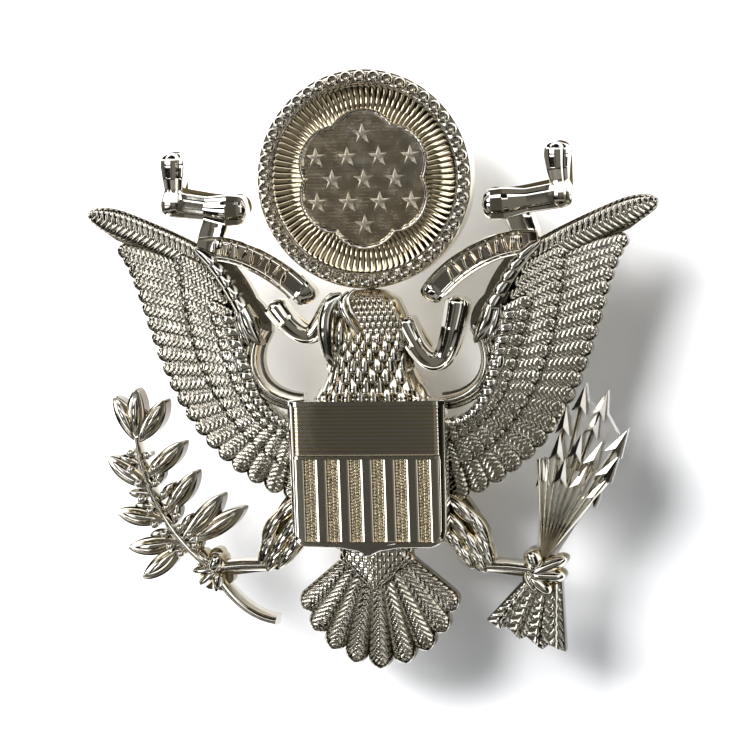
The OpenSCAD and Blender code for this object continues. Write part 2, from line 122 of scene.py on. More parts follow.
class Relief:
    """Closed shells gathered into one mesh, on a slab with a CAD node's outline where one is named.
    Each shell is a tube: n sections of k points (x, z, h), with how deep in a recess the point lies
    as an optional fourth value, which the metal paints as shade."""

    def __init__(self, node=None, depth=0.0, recess=0.0):
        self.points, self.faces, self.recess, self.count = [], [], [], 0
        if node:
            self.slab(node, depth, recess)

    def tube(self, s, ring=False, recess=0.0):
        """Adds a shell through the sections s. In a ring the last section joins the first."""
        s = np.asarray(s, float)
        n, k, m = s.shape
        if m == 4:
            recess = np.maximum(s[..., 3], recess)
        world = np.stack([s[..., 0], -s[..., 2], s[..., 1]], -1).reshape(-1, 3)
        idx = np.arange(n * k).reshape(n, k)
        a, b = (idx, np.roll(idx, -1, 0)) if ring else (idx[:-1], idx[1:])
        quads = np.stack([a, np.roll(a, -1, 1), np.roll(b, -1, 1), b], -1).reshape(-1, 4)
        p = world[quads] - world.mean(0)
        volume = np.einsum("ij,ij->i", p[:, 0], np.cross(p[:, 1], p[:, 2])).sum()
        volume += np.einsum("ij,ij->i", p[:, 0], np.cross(p[:, 2], p[:, 3])).sum()
        faces = quads.tolist()
        if not ring:
            faces += [idx[0][::-1].tolist(), idx[-1].tolist()]
        if volume < 0:
            faces = [f[::-1] for f in faces]
        self.points.append(world)
        self.faces += [[i + self.count for i in f] for f in faces]
        self.recess.append(np.broadcast_to(recess, (n, k)).reshape(-1))
        self.count += n * k

    def slab(self, node, depth, recess):
        """The CAD node's own outline, from the back up to depth, painted as a recess: painted shade between
        the shells.
        """
        bm = bmesh.new()
        bm.from_mesh(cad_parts[node].data)
        bmesh.ops.remove_doubles(bm, verts=bm.verts, dist=1e-6)
        geom = bm.verts[:] + bm.edges[:] + bm.faces[:]
        cut = bmesh.ops.bisect_plane(bm, geom=geom, plane_co=(0, -depth * MM, 0), plane_no=(0, -1, 0),
                                     clear_outer=True)
        edges = [e for e in cut["geom_cut"] if isinstance(e, bmesh.types.BMEdge)]
        bmesh.ops.holes_fill(bm, edges=edges)
        bmesh.ops.triangle_fill(bm, edges=[e for e in bm.edges if e.is_boundary], use_dissolve=False)
        bmesh.ops.recalc_face_normals(bm, faces=bm.faces)
        bm.verts.index_update()
        self.points.append(np.array([v.co for v in bm.verts]) / MM)
        self.faces += [[v.index + self.count for v in f.verts] for f in bm.faces]
        self.recess.append(np.full(len(bm.verts), recess))
        self.count += len(bm.verts)
        bm.free()


def make(name, relief, material, nodes=(), body="badge", sharp=38):
    """Makes the relief a piece that stands for CAD nodes. Edges over sharp degrees stay sharp."""
    mesh = bpy.data.meshes.new(name)
    mesh.from_pydata((np.concatenate(relief.points) * MM).tolist(), [], relief.faces)
    attr = mesh.attributes.new("recess", "FLOAT", "POINT")
    attr.data.foreach_set("value", np.concatenate(relief.recess).astype(np.float32))
    mesh.polygons.foreach_set("use_smooth", np.ones(len(mesh.polygons), bool))
    mesh.set_sharp_from_angle(angle=math.radians(sharp))
    mesh.materials.append(material)
    mesh.update()
    obj = bpy.data.objects.new(name, mesh)
    bpy.context.scene.collection.objects.link(obj)
    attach(obj, body)
    if nodes:
        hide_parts(*nodes)


def sided(relief, sign):
    """Adds shells to a relief, mirrored to the viewer's left where sign is -1."""
    def put(s):
        relief.tube(s * np.array([sign, 1, 1, 1])[: s.shape[-1]])

    return put


def closed(top, floor):
    """Sections across a surface, each closed by two points at the floor below its ends."""
    low = top[:, [-1, 0]].copy()
    low[..., 2] = floor
    return np.concatenate([top, low], 1)


def flat(x, _z):
    return np.zeros_like(x)


BARB_STEP = 0.07
SHAFT_W, SHAFT_H = 0.12, 0.03


def feather(p, q, w0, w1, h0, h1, dome=0.17, amp=0.17, pitch=0.5, start=0.0, floor=0.5, bend=0.0,
            lean=0.8, cols=12, tip_len=None, bare=0.0):
    """A feather from root p to tip q, w0 to w1 to each side and h0 to h1 high. Barbs run out from
    its shaft towards its tip, pitch apart and amp high, and stop a length bare before the tip."""
    length, d, n = heading(p, q)
    tip = min(tip_len or w1, length * 0.6)
    close = np.linspace(0, 0.985 * math.pi / 2, max(11, int(tip / BARB_STEP)))
    s = np.concatenate([np.arange(start, length - tip, BARB_STEP), length - tip + tip * np.sin(close)])
    over = np.clip((s - (length - tip)) / tip, 0, 1)
    w = (w0 + (w1 - w0) * s / length) * np.sqrt(1 - over**2)
    v = np.linspace(-1, 1, cols + 1)
    v = np.sign(v) * np.abs(v) ** 0.8
    side = v[None, :] * w[:, None]
    base = h0 + (h1 - h0) * s / length
    crown = dome * (1 - np.abs(v)[None, :] ** 4) * (1 - over[:, None] ** 4 * 0.6)
    barb = np.abs(((s[:, None] - np.abs(side) * lean) / pitch) % 1 * 2 - 1) ** 0.85
    barbed = 1 - smooth(length - bare - 0.3, length - bare + 0.1, s)
    fade = (1 - np.abs(v)[None, :] ** 8) * barbed[:, None]
    rib = SHAFT_H * np.exp(-((side / SHAFT_W) ** 2)) * (1 - over[:, None])
    h = base[:, None] + crown + amp * (barb - 0.3) * fade + rib
    # Painted shade in the grooves between the barbs and along the feather's edges.
    recess = np.maximum(0.85 * (1 - barb) ** 2 * fade, np.abs(v)[None, :] ** 6)
    arc = bend * 4 * (s / length) * (1 - s / length)
    x, z = laid(p, d, n, s[:, None], side + arc[:, None])
    return closed(np.stack([x, z, h, recess], -1), floor)


def pointed(s):
    """The outline of a leaf, widest a little before its middle."""
    return np.maximum(np.sin(math.pi * s**1.1), 0) ** 0.62


def blunt(root=1.0, power=3):
    """A function for an outline with round ends, with root times its full width at the root."""
    return lambda s: np.sqrt(np.maximum(1 - np.abs(2 * s - 1) ** power, 0)) * (root + (1 - root) * s)


def leaf(p, q, w, h0, h1, dome=0.5, floor=0.0, groove=0.0, groove_w=0.25, bend=0.0, cols=12, rows=22,
         ground=flat, outline=pointed, power=2.0, shade=0.6):
    """A leaf, scale or drop from p to q, at most w to each side of its middle. Its height is above
    the ground, and painted shade of strength shade darkens its edges, as in a recess."""
    length, d, n = heading(p, q)
    s = (1 - np.cos(np.linspace(0.05, math.pi - 0.05, rows))) / 2
    width = w * np.maximum(outline(s), 0.03)
    v = np.linspace(-1, 1, cols + 1)
    full = (width / w)[:, None]
    h = (h0 + (h1 - h0) * s)[:, None] + dome * (1 - np.abs(v)[None, :] ** power) * full
    grooved = (smooth(0.05, 0.2, s) * (1 - smooth(0.8, 0.95, s)))[:, None]
    h = h - groove * np.exp(-((v[None, :] / groove_w) ** 2)) * grooved
    arc = (bend * 4 * s * (1 - s))[:, None]
    x, z = laid(p, d * length, n, s[:, None], v[None, :] * width[:, None] + arc)
    h = h + ground(x, z)
    # Painted shade at the edges, darkest at the rim.
    recess = np.broadcast_to(shade * np.abs(v)[None, :] ** 8, h.shape)
    return closed(np.stack([x, z, h, recess], -1), floor)


def strip(line, profile, floor=0.0, heights=None, widths=None):
    """A strip along a line. profile is (side, height) across it; widths and heights scale along it."""
    line = np.asarray(line, float)
    n = normals_2d(line)
    profile = np.asarray(profile, float)
    widths = np.ones(len(line)) if widths is None else np.asarray(widths, float)
    heights = np.zeros(len(line)) if heights is None else np.asarray(heights, float)
    side = profile[None, :, 0] * widths[:, None]
    x = line[:, None, 0] + n[:, None, 0] * side
    z = line[:, None, 1] + n[:, None, 1] * side
    h = profile[None, :, 1] + heights[:, None]
    return closed(np.stack([x, z, np.broadcast_to(h, x.shape)], -1), floor)


def ridge(w, h, n=9):
    """A rounded profile w to each side and h high."""
    v = np.linspace(-1, 1, n)
    return np.stack([v * w, h * (1 - v**2)], 1)


def rod(line, radius, n=12):
    """A round rod along a line of (x, z, h) points, with a radius at each point."""
    line = np.asarray(line, float)
    radius = np.broadcast_to(radius, (len(line),))
    d = np.gradient(line, axis=0)
    d /= np.linalg.norm(d, axis=1)[:, None]
    a = np.cross(d, [0, 0, 1.0])
    a /= np.linalg.norm(a, axis=1)[:, None]
    b = np.cross(a, d)
    t = around(n)
    out = np.cos(t)[None, :, None] * a[:, None] + np.sin(t)[None, :, None] * b[:, None]
    return line[:, None] + radius[:, None, None] * out


def lathe(profile, centre, n=24):
    """Rings (radius, h) about an axis through centre, square to the back."""
    profile = np.asarray(profile, float)
    return polar(centre, profile[:, :1], around(n), profile[:, 1:])


def drop(centre, r, h, base, n=12, rows=5):
    """A dome of radius r that stands h above base."""
    a = np.linspace(0.06, math.pi / 2, rows)
    prof = [(r * math.sin(t), base + h * math.cos(t)) for t in a] + [(r * 0.98, base - 0.4)]
    return lathe(prof, centre, n)


# ------------ materials


def add(tree, kind, **values):
    """A new shader node with some inputs set. _ stands for the space in an input's name."""
    n = tree.nodes.new("ShaderNode" + kind)
    for name, value in values.items():
        n.inputs[name.replace("_", " ")].default_value = value
    return n


def link(tree, a, out, b, inp):
    tree.links.new(a.outputs[out], b.inputs[inp])


def new_material(name):
    m = bpy.data.materials.new(name)
    m.use_nodes = True
    m.node_tree.nodes.clear()
    return m


def add_bump(tree, texture, out, strength, distance, shader):
    """Adds a bump to a shader, over the bumps that it has."""
    n = add(tree, "Bump", Strength=strength, Distance=distance)
    link(tree, texture, out, n, "Height")
    for old in shader.inputs["Normal"].links:
        tree.links.new(old.from_socket, n.inputs["Normal"])
    link(tree, n, "Normal", shader, "Normal")


def metal(name, base, recess, rough=(0.08, 0.2), grain=900.0, bump=0.06, pits=0.0, lines=0.0):
    """Plated metal of the colour base, which turns to the colour recess and then dark as a recess
    deepens: painted shade in its hollows. It has uneven gloss and the slight waviness of a casting.
    pits is the scale of its pits, and lines the depth of its fine level lines."""
    m = new_material(name)
    t = m.node_tree
    b = add(t, "BsdfPrincipled", Metallic=1.0)
    link(t, b, "BSDF", add(t, "OutputMaterial"), "Surface")
    co = add(t, "TexCoord")
    cloud = add(t, "TexNoise", Scale=grain * 0.35, Detail=4)
    link(t, co, "Object", cloud, "Vector")
    attr = add(t, "Attribute")
    attr.attribute_name = "recess"
    mix = add(t, "Math")
    mix.operation = "MULTIPLY_ADD"
    mix.inputs[1].default_value = 0.35
    link(t, cloud, "Fac", mix, 0)
    link(t, attr, "Fac", mix, 2)
    # The deeper the recess, the darker the metal: painted shade in its hollows.
    ramp = add(t, "ValToRGB")
    ramp.color_ramp.elements[0].position = 0.12
    ramp.color_ramp.elements[0].color = (*base, 1)
    ramp.color_ramp.elements[1].position = 1.0
    ramp.color_ramp.elements[1].color = (*RECESS_SHADE, 1)
    ramp.color_ramp.elements.new(0.5).color = (*recess, 1)
    link(t, mix, "Value", ramp, "Fac")
    link(t, ramp, "Color", b, "Base Color")
    gloss = add(t, "TexNoise", Scale=grain, Detail=5)
    link(t, co, "Object", gloss, "Vector")
    span = add(t, "MapRange", From_Min=0.3, From_Max=0.7, To_Min=rough[0], To_Max=rough[1])
    link(t, gloss, "Fac", span, "Value")
    link(t, span, "Result", b, "Roughness")
    add_bump(t, gloss, "Fac", bump, 0.0004, b)
    if pits:
        v = add(t, "TexVoronoi", Scale=pits)
        link(t, co, "Object", v, "Vector")
        add_bump(t, v, "Distance", 0.14, 0.0002, b)
    if lines:
        w = add(t, "TexWave", Scale=900)
        w.bands_direction = "Z"
        link(t, co, "Object", w, "Vector")
        add_bump(t, w, "Fac", lines, 0.0002, b)
    return m


NICKEL = (0.74, 0.72, 0.67)
GOLD = (0.80, 0.66, 0.40)
# The near black of the deepest recesses: painted shade.
RECESS_SHADE = (0.13, 0.105, 0.07)
m_feather = metal("nickel_feather", NICKEL, (0.60, 0.56, 0.47), (0.07, 0.15), 900, 0.04)
m_polish = metal("nickel_polished", (0.80, 0.785, 0.75), GOLD, (0.03, 0.08), 500, 0.012)
m_relief = metal("nickel_relief", NICKEL, (0.74, 0.64, 0.43), (0.08, 0.17), 900, 0.04)
m_satin = metal("nickel_satin", (0.80, 0.79, 0.77), NICKEL, (0.36, 0.46), 900, 0.04)
# A whiter copy of the nickel, so the stars read as bright glints: painted highlight.
m_star = metal("nickel_star", (0.97, 0.96, 0.94), NICKEL, (0.32, 0.4), 900, 0.02)
m_field = metal("nickel_field", NICKEL, GOLD, (0.1, 0.2), 900, 0.02, lines=0.13)
m_gilt = metal("gilt_recess", (0.92, 0.86, 0.72), (0.82, 0.73, 0.53), (0.16, 0.3), 2500, 0.1, pits=3600)
m_steel = metal("post_steel", (0.60, 0.60, 0.60), (0.45, 0.42, 0.38), (0.2, 0.4), 1500, 0.15)
m_brass = metal("clutch_brass", (0.80, 0.60, 0.28), (0.55, 0.38, 0.16), (0.15, 0.38), 1200, 0.12)

# ------------ wings

TIP = [[26.1, 15.6], [22.2, 10.3], [23.5, -4.9], [8.7, -10.3]]
ROOT = [[15.6, 12.6], [11.4, 4.5], [13.0, -2.6], [6.6, -2.0]]
INNER = [[19.8, 14.6], [19.3, 8.3], [17.9, -2.8], [8.2, -7.4]]
WRIST = [[10.7, 7.4], [12.9, 4.6], [12.3, 0.3], [7.2, -0.1]]
TOP_FEATHER = [[16.3, 13.6], [29.1, 19.35]]
FEATHERS, SHORT_FEATHERS = 20, 16
W_FEATHER = 0.76
EDGE_SCALES = [((17.6, 15.6), (15.4, 13.7), 0.72), ((16.6, 14.6), (14.6, 12.6), 0.78),
               ((15.7, 13.5), (13.9, 11.5), 0.8), ((14.9, 12.4), (13.2, 10.2), 0.82),
               ((14.1, 11.2), (12.5, 8.9), 0.85)]
WRIST_SCALES = [((13.1, 7.6), (12.7, 5.9)), ((13.3, 6.2), (12.9, 4.5)), ((13.5, 4.9), (13.0, 2.6))]


def build_wing(side, sign):
    node = "wing_" + side
    r = Relief(node, 1.15, 0.4)
    put = sided(r, sign)
    t = np.linspace(0, 1, FEATHERS)
    roots, tips, inner = bez(ROOT, t), bez(TIP, t), bez(INNER, t)
    widths = W_FEATHER * (1 + 0.45 * t)
    for p, q, w in zip(roots, tips, widths):
        start = 0.38 * np.linalg.norm(q - p)
        put(feather(p, q, w * 0.8, w + 0.03, 1.3, 1.15, start=start, bend=0.15, cols=10))
    put(feather(*TOP_FEATHER, 1.5, 1.35, 1.3, 1.2, dome=0.36, amp=0.2, pitch=0.62, bend=0.35,
                tip_len=3.6, cols=16, lean=0.6))
    for p, q, w in zip(roots, inner, widths * 0.95):
        put(feather(p, q, w * 0.82, w, 2.0, 1.75, pitch=0.47, bend=0.1, floor=1.0, cols=10))
    # Short coverts over the roots of the lower feathers, and a drop between each two
    t = np.linspace(0.16, 1, SHORT_FEATHERS)
    roots, ends = bez(ROOT, t), bez(INNER, t)
    for p, q in zip(roots, ends):
        put(feather(p, p + (q - p) * 0.46, 0.62, 0.8, 2.5, 2.25, amp=0.13, pitch=0.42, floor=1.4, cols=10))
    for p, q in zip((roots[:-1] + roots[1:]) / 2, (ends[:-1] + ends[1:]) / 2):
        way = q - p
        put(leaf(p - way * 0.04, p + way * 0.22, 0.62, 2.75, 2.75, dome=0.35, floor=1.6, groove=0.06))
    # The leading edge: overlapping scales, then a big drop, then the loop to the shield
    for i, (p, q, w) in enumerate(EDGE_SCALES):
        put(leaf(p, q, w, 2.45 + 0.08 * i, 2.8 + 0.08 * i, floor=1.0, bend=-0.15, outline=blunt(0.6)))
    put(leaf((12.9, 10.6), (10.9, 5.7), 0.85, 2.9, 3.0, dome=0.7, floor=0.3, bend=0.25))
    put(leaf((13.5, 10.0), (12.0, 5.6), 0.6, 2.6, 2.8, floor=1.0, bend=0.2))
    for p, q in WRIST_SCALES:
        put(leaf(p, q, 0.55, 2.55, 2.7, dome=0.45, floor=1.0))
    line = resample(bez(WRIST, np.linspace(0, 1, 60)), 0.2)
    put(strip(line, ridge(0.5, 0.75, 11), floor=0.3, heights=np.full(len(line), 2.2)))
    outer = line + normals_2d(line) * 0.72
    put(strip(outer, ridge(0.22, 0.3, 7), floor=0.4, heights=np.full(len(line), 2.15)))
    make(node + "_relief", r, m_feather, [node])


SIDES = (("left", -1), ("right", 1))
for side, sign in SIDES:
    build_wing(side, sign)

# ------------ neck and head


def neck_half(z):
    """Half the width of the body at height z."""
    return np.interp(z, [-16, -9, -2, 0.4, 1.4, 2.6, 3.6, 6.2, 8.6, 10.1, 11.0, 11.25],
                     [4.0, 6.0, 6.4, 5.7, 4.9, 4.3, 4.05, 4.0, 3.7, 3.0, 1.7, 0.6])


def neck_top(x, z):
    """The height of the body's rounded surface."""
    v = np.clip(np.abs(x) / neck_half(z), 0, 1)
    crest = np.interp(z, [-16, -2, 0.4, 3, 6.2, 9.0, 10.4, 11.2], [3.0, 3.2, 3.7, 4.0, 4.2, 4.4, 3.9, 2.8])
    return 1.4 + (crest - 1.4) * np.sqrt(1 - v**2 * 0.97)


def body(z, n, width, rise):
    """The body's rounded surface over the heights z, with n points across."""
    v = np.sin(np.linspace(-math.pi / 2, math.pi / 2, n)) * 0.998
    x = (neck_half(z) * width)[:, None] * v[None, :]
    z = np.broadcast_to(z[:, None], x.shape)
    return closed(np.stack([x, z, neck_top(x, z) + rise], -1), 0.8)


def scales(r, z_top, z_low):
    """Overlapping breast feathers, longer and broader towards the shield."""
    z, row = z_low, 0
    while z < z_top:
        size = float(np.interp(z, [0, 3, 7], [1.35, 1.3, 0.9]))
        half = float(neck_half(z)) - 0.15
        pitch = 1.04 * size
        for i in range(-9, 10):
            x = (i + 0.5 * (row % 2)) * pitch
            if abs(x) > half:
                continue
            wobble = rng.uniform(-0.14, 0.14)
            p = (x * 0.95, z + 0.85 * size)
            q = (x * 1.05 + wobble, z - 0.7 * size + wobble)
            r.tube(leaf(p, q, 0.58 * size, -0.12, 0.3 + wobble, dome=0.45, floor=1.2, shade=0.9,
                        ground=neck_top, rows=12, cols=8, power=2.4, outline=blunt(0.55)))
        z += 0.82 * size
        row += 1


def build_torso():
    r = Relief("torso", 1.4, 0.15)
    # The body under the breast scales is painted as a recess: painted shade between the scales.
    r.tube(body(np.linspace(-15.0, 7.0, 70), 29, 1.0, -0.12), recess=0.75)
    scales(r, 7.0, -0.6)
    make("torso_relief", r, m_relief, ["torso"])


BROW = [(-1.4, 10.9, 3.9), (-2.1, 10.3, 4.4), (-1.9, 9.2, 4.8), (-1.2, 8.1, 4.95), (-0.4, 6.9, 4.7)]
BEAK = [(-2.2, 10.5, 3.5), (-3.1, 10.2, 3.8), (-3.75, 9.0, 3.95), (-3.95, 7.4, 3.9), (-3.9, 5.8, 3.7),
        (-3.7, 4.5, 3.5), (-3.35, 3.5, 3.2)]


def tapered(points, at, radii, n=12):
    """A round rod along points, with the radii at the shares at of its length."""
    return rod(points, np.interp(np.linspace(0, 1, len(points)), at, radii), n)


def build_head():
    r = Relief("head", 1.4, 0.15)
    # The head's surface is painted as a half-deep recess: painted shade between its scales, brow and beak.
    r.tube(body(np.linspace(6.2, 11.1, 34), 25, 0.99, 0.05), recess=0.5)
    # Small scales over the crown and cheek
    for j in range(7):
        for i in range(10):
            x = -1.3 + i * 0.58 + 0.29 * (j % 2)
            z = 10.5 - j * 0.66
            if abs(x) > neck_half(z) - 0.25 or x < -1.5 + 0.28 * j:
                continue
            r.tube(leaf((x - 0.12, z + 0.45), (x + 0.14, z - 0.6), 0.32, -0.05, 0.2, dome=0.2, floor=1.4,
                        ground=neck_top, rows=9, cols=6))
    # Brow, the fold behind it, eye, the long hooked beak, and the jaw below it
    brow = rounded(BROW)
    r.tube(tapered(brow, [0, 0.4, 1], [0.3, 0.42, 0.14]))
    fold = brow[: len(brow) * 3 // 4] + [0.62, 0.35, 0]
    r.tube(tapered(fold, [0, 0.4, 1], [0.15, 0.24, 0.08], 10))
    r.tube(drop((-2.55, 9.0), 0.36, 0.3, 4.3))
    r.tube(tapered(rounded(BEAK), [0, 0.25, 0.5, 0.8, 1], [0.5, 0.85, 0.9, 0.6, 0.1], 16))
    r.tube(leaf((-2.35, 8.5), (-2.5, 4.6), 0.72, 3.9, 3.7, dome=0.7, floor=2.0, rows=18, cols=10))
    make("head_relief", r, m_relief, ["head"])


build_torso()
build_head()

# ------------ tail


TAIL_ROOT = np.array([0, -13.6])
TAIL_FEATHERS, TAIL_FAN = 9, 46
COVERTS_Z = [-18.7, -17.8, -16.0, -14.0]


def build_tail():
    r = Relief("tail_feathers", 1.1, 0.6)
    spread = np.linspace(-1, 1, TAIL_FEATHERS)
    for v in sorted(spread, key=lambda v: -abs(v)):
        out = abs(v)
        q = TAIL_ROOT + (13.7 + (11.0 - 13.7) * out**1.6) * unit(-90 + TAIL_FAN * v)
        lift = 0.18 * (1 - out)
        r.tube(feather(TAIL_ROOT, q, 0.5, 1.28, 1.1 + lift, 1.2 + lift, dome=0.36, pitch=0.62, start=2.5,
                       lean=1.25, cols=18, bare=0.15))
    make("tail_feathers_relief", r, m_feather, ["tail_feathers"])


def coverts_top(x, z):
    """The height of the rounded patch over the roots of the tail feathers."""
    w = np.interp(z, COVERTS_Z, [0.5, 1.7, 3.6, 3.4])
    return 1.6 + 1.2 * np.sqrt(np.clip(1 - (np.abs(x) / (w + 0.3)) ** 2, 0, 1))


def build_coverts():
    # The slab under the coverts is painted as the deepest recess: painted shade between the scales.
    r = Relief("tail_coverts", 1.9, 1.0)
    for j in range(7):
        z = -14.5 - 0.62 * j
        half = float(np.interp(z, COVERTS_Z, [0.35, 1.7, 3.4, 3.4]))
        for i in range(-4, 5):
            x = (i + 0.5 * (j % 2)) * 0.85
            if abs(x) > half:
                continue
            r.tube(leaf((x * 0.95, z + 0.55), (x * 1.05, z - 0.75), 0.47, 0.1, 0.3, dome=0.22, floor=1.0,
                        ground=coverts_top, rows=10, cols=8, groove=0.07, groove_w=0.3))
    make("tail_coverts_relief", r, m_relief, ["tail_coverts"])


build_tail()
build_coverts()

# ------------ legs

THIGH = [((7.2, -9.4), (10.4, -12.6)), ((6.9, -10.8), (9.8, -14.4)), ((7.0, -12.6), (9.0, -15.6)),
         ((9.2, -10.6), (11.7, -14.6)), ((8.4, -12.4), (10.9, -16.2)), ((7.8, -14.0), (10.0, -16.9)),
         ((10.2, -12.8), (12.0, -16.9)), ((9.4, -14.4), (11.3, -17.3))]
ANKLE = np.array([11.4, -16.7])
TOES_LEFT = [((16.6, -17.0), (19.2, -17.4), 0.55), ((16.6, -17.3), (18.6, -18.8), 0.6),
             ((16.4, -17.4), (16.7, -19.6), 0.6), ((17.2, -16.4), (18.6, -15.3), 0.5)]
TOES_RIGHT = [((15.6, -17.4), (19.4, -15.9), 0.72), ((15.6, -17.5), (19.2, -17.7), 0.75),
              ((15.6, -17.6), (17.7, -19.4), 0.75), ((15.4, -17.2), (16.2, -19.2), 0.6)]


def build_leg(side, sign, grip, knob, toes):
    """A feathered thigh, a bare shank to grip, four toes, and the knob that they close over."""
    node = "leg_" + side
    r = Relief(node, 1.5, 0.6)
    put = sided(r, sign)
    for i, (p, q) in enumerate(THIGH):
        put(leaf(p, q, 0.72, 2.35 - 0.03 * i, 2.4, dome=0.55, floor=1.0, groove=0.16, bend=0.12, rows=16))
    middle = ANKLE + (grip - ANKLE) * 0.5 + [0, 0.1]
    line = resample([ANKLE, middle, grip], 0.25)
    put(strip(line, ridge(0.62, 0.75, 11), floor=0.3, heights=np.full(len(line), 1.9)))
    for p, q, w in toes:
        put(leaf(p, q, w, 2.3, 2.1, dome=0.8, floor=0.2, rows=16, outline=blunt()))
    put(leaf(knob + [-0.5, 0.95], knob + [0.35, -0.95], 0.9, 2.3, 2.3, dome=1.0, floor=0.2, rows=18,
             outline=blunt()))
    make(node + "_relief", r, m_relief, [node])


build_leg("left", -1, np.array([16.6, -17.0]), np.array([16.7, -16.4]), TOES_LEFT)
build_leg("right", 1, np.array([15.8, -17.0]), np.array([16.1, -15.9]), TOES_RIGHT)

# ------------ disc

DISC = np.array([0.0, 22.1])
RAYS, BEADS = 92, 46
BEAD_RING = 10.12
BEAD = [(0.02, 2.28), (0.14, 2.3), (0.26, 2.42), (0.38, 2.62), (0.5, 2.68), (0.6, 2.6), (0.66, 2.4),
        (0.66, 1.9)]
# The cloud's section: the share of the way to its edge, then how far from there, and the height
CLOUD = [(0.004, 0, 2.0), (0.5, 0, 2.0), (1, -0.55, 2.0), (1, -0.48, 2.1), (1, -0.4, 2.3),
         (1, -0.28, 2.42), (1, -0.16, 2.44), (1, -0.04, 2.34), (1, 0.0, 2.2), (1, 0.02, 1.6),
         (0.004, 0, 1.6)]
LOBE_OUT, LOBE_R = 3.24, 3.76
STAR_ROWS = [1, 4, 3, 4, 1]
STAR = [(1.0, 1.9), (1.0, 2.1), (0.94, 2.2), (0.5, 2.5), (0.2, 2.7), (0.03, 2.78)]


def build_disc():
    """A plate with a hollow ring of rays and a raised rim. It is open under the cloud."""
    r = Relief()
    t = around(RAYS * 6)
    wave = np.abs(np.cos(RAYS * t / 2)) ** 0.6
    n = 12
    rad = np.concatenate([[5.2, 6.0], np.linspace(6.2, 9.15, n),
                          [9.3, 9.45, 10.5, 10.75, 10.88, 10.9, 10.9, 5.2]])
    h = np.concatenate([[1.75, 1.75], 1.85 - 0.25 * np.sin(np.linspace(0, math.pi, n)),
                        [1.95, 2.1, 2.1, 2.0, 1.75, 1.5, 0.0, 0.0]])
    amp = np.concatenate([[0, 0], np.linspace(0.03, 0.1, n), [0.05, 0, 0, 0, 0, 0, 0, 0]])
    s = polar(DISC, rad[:, None], t, h[:, None] + amp[:, None] * wave[None, :])
    # Painted shade in the grooves between the rays.
    recess = np.zeros(s.shape[:2])
    recess[2 : 2 + n] = 0.25 + 0.75 * (1 - wave)[None, :]
    r.tube(s, recess=recess)
    make("glory_disc_rays", r, m_relief, ["glory_disc"])


def build_beads():
    """A ring of beads, with a fine lip inside and outside it."""
    r = Relief()
    for i in range(BEADS):
        r.tube(lathe(BEAD, DISC + BEAD_RING * unit(360 * (i + 0.5) / BEADS), 14))
    lip = ridge(0.09, 0.16, 5)
    for rad in (9.42, 10.8):
        s = polar(DISC, rad + lip[:, 0], around(180)[:, None], 2.12 + lip[:, 1])
        r.tube(closed(s, 1.8), ring=True)
    make("disc_beads_relief", r, m_polish, ["disc_beads"])


def cloud_edge(t):
    """Distance from the disc's centre to the six-lobed edge in direction t."""
    best = np.zeros_like(t)
    for i in range(6):
        c = np.cos(t - math.pi / 2 - i * math.pi / 3)
        inside = LOBE_R**2 - LOBE_OUT**2 * (1 - c**2)
        reach = np.where(inside > 0, LOBE_OUT * c + np.sqrt(np.maximum(inside, 0)), 0)
        best = np.maximum(best, reach)
    return best


def build_field():
    r = Relief()
    t = around(240)
    edge = cloud_edge(t)
    # The cloud's floor inside its rim is painted as a shallow recess: a little painted shade.
    recess = np.zeros((len(CLOUD), len(t)))
    recess[:3] = 0.12
    r.tube([polar(DISC, edge * k + off, t, h) for k, off, h in CLOUD], recess=recess)
    make("star_field_relief", r, m_field, ["star_field"])


def build_stars():
    r = Relief()
    t = np.radians(90 + 36 * np.arange(10))
    rad = np.where(np.arange(10) % 2 == 0, 1.05, 0.4)
    for j, n in enumerate(STAR_ROWS):
        for i in range(n):
            centre = DISC + [(i - (n - 1) / 2) * 3.2, (2 - j) * 2.25 - 0.05]
            r.tube([polar(centre, k * rad, t, h) for k, h in STAR])
    make("stars_relief", r, m_star, ["stars"], sharp=25)


build_disc()
build_beads()
build_field()
build_stars()

# ------------ shield

S_TOP, S_H, S_W = 0.25, 14.6, 16.0
S_LOW = S_TOP - S_H
HEAD_BAR = 0.5
CHIEF_LOW = S_TOP - HEAD_BAR - 4.95
STRIPE_TOP, STRIPE_LOW = CHIEF_LOW - 0.35, S_LOW + 0.55
STRIPES, STRIPE_PITCH, STRIPE_W = 6, 2.32, 1.25
INSIDE = 7.5
CORNER_X, CORNER_R = 6.2, 1.4
RIM = [(-0.28, -0.3), (-0.26, -0.1), (-0.18, 0.0), (0.18, 0.0), (0.26, -0.1), (0.28, -0.3)]


def shield_h(x):
    """The height of the shield's face, which curves back towards its sides."""
    x = np.asarray(x, float)
    return 5.2 - x**2 / 800 - 0.5 * smooth(7.2, 8.05, np.abs(x))


def shield_low(x):
    """The shield's lower edge, with a small point in the middle and round corners."""
    x = np.abs(x)
    drops = [0.95, 0.7, 0.35, 0.05, 0]
    edge = S_LOW - np.interp(x, [0, 0.4, 1.2, 3.0, CORNER_X], drops)
    side = np.clip(x - CORNER_X, 0, CORNER_R)
    corner = S_LOW + CORNER_R - np.sqrt(np.clip(CORNER_R**2 - side**2, 0, None))
    return np.where(x > CORNER_X, corner, edge)


